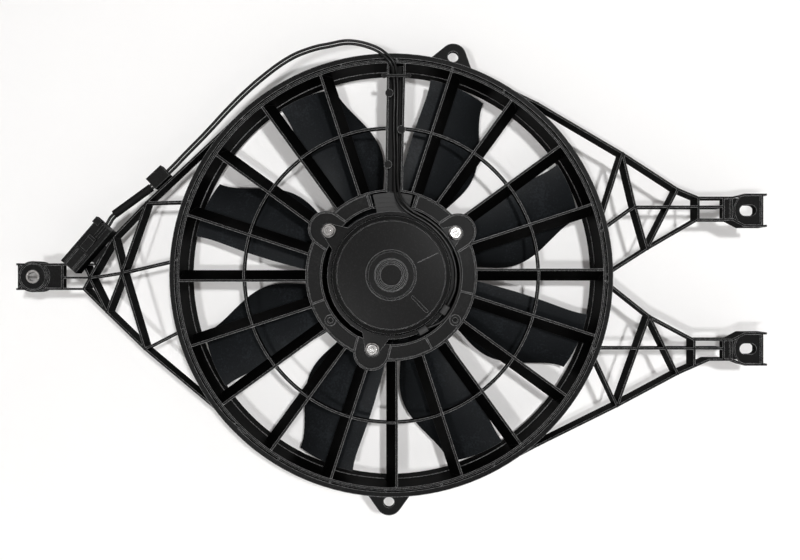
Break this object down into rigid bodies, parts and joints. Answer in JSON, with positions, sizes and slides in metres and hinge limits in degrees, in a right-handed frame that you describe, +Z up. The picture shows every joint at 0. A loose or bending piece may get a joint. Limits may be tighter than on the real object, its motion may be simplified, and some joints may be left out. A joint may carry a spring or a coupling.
{
  "type": "radiator fan assembly",
  "caption": "Electric radiator cooling fan: round moulded shroud with stator vanes, mounting arms and lugs, central motor, swept blade wheel, leads and a plug-in connector.",
  "frame": {"origin": "on the fan axis, in the plane of the shroud's front rims, motor side", "axes": "+Z up as fitted, +Y along the fan axis from the motor side to the blade side, +X to the right as seen from the motor side"},
  "size_m": [0.7216, 0.0788, 0.457],
  "materials": {
    "shroud": "moulded glass-filled black, satin",
    "fan": "moulded black, satin, with flow lines",
    "motor_paint": "black dip paint, slightly pebbled",
    "flange_steel": "black dip paint",
    "zinc": "bright zinc plate",
    "brass": "turned or stamped, bare",
    "copper": "enamelled copper",
    "ferrite": "sintered, dull grey",
    "lamination": "stacked bare steel sheet",
    "card": "brown moulding",
    "carbon": "pressed carbon",
    "lead_cover": "soft black insulation",
    "rubber": "moulded, matte",
    "sleeve": "woven black sleeve",
    "clip": "moulded black nylon",
    "connector": "moulded black, ribbed"
  },
  "bodies": {
    "shroud": {"shroud_ring": "shroud", "stator_grille": "shroud", "left_arm": "shroud", "upper_right_arm": "shroud", "lower_right_arm": "shroud", "left_arm_sleeve": "zinc", "motor_end_cap": "motor_paint", "motor_can": "motor_paint", "motor_flange": "flange_steel", "motor_screws": "zinc", "screw_inserts": "brass", "motor_magnets": "ferrite", "brush_card": "card", "brushes": "carbon", "brush_springs": "zinc", "cap_bush": "brass", "can_bearing": "zinc", "power_lead": "lead_cover", "ground_lead": "lead_cover", "lead_entries": "rubber", "lead_seal": "rubber", "trough_tie": "clip", "harness_clip": "clip", "harness_sleeve": "sleeve", "connector_housing": "connector", "connector_seal": "rubber", "connector_terminals": "brass", "connector_lock": "connector"},
    "rotor": {"fan_wheel": "fan", "fan_retaining_clip": "zinc", "armature_core": "lamination", "armature_windings": "copper", "commutator": "copper", "motor_shaft": "zinc", "shaft_spacer": "zinc"}
  },
  "joints": [
    {"name": "fan_spin", "type": "hinge", "parent": "shroud", "child": "rotor", "pos_m": [0, 0, 0], "axis": [0, 1, 0], "continuous": true}
  ]
}
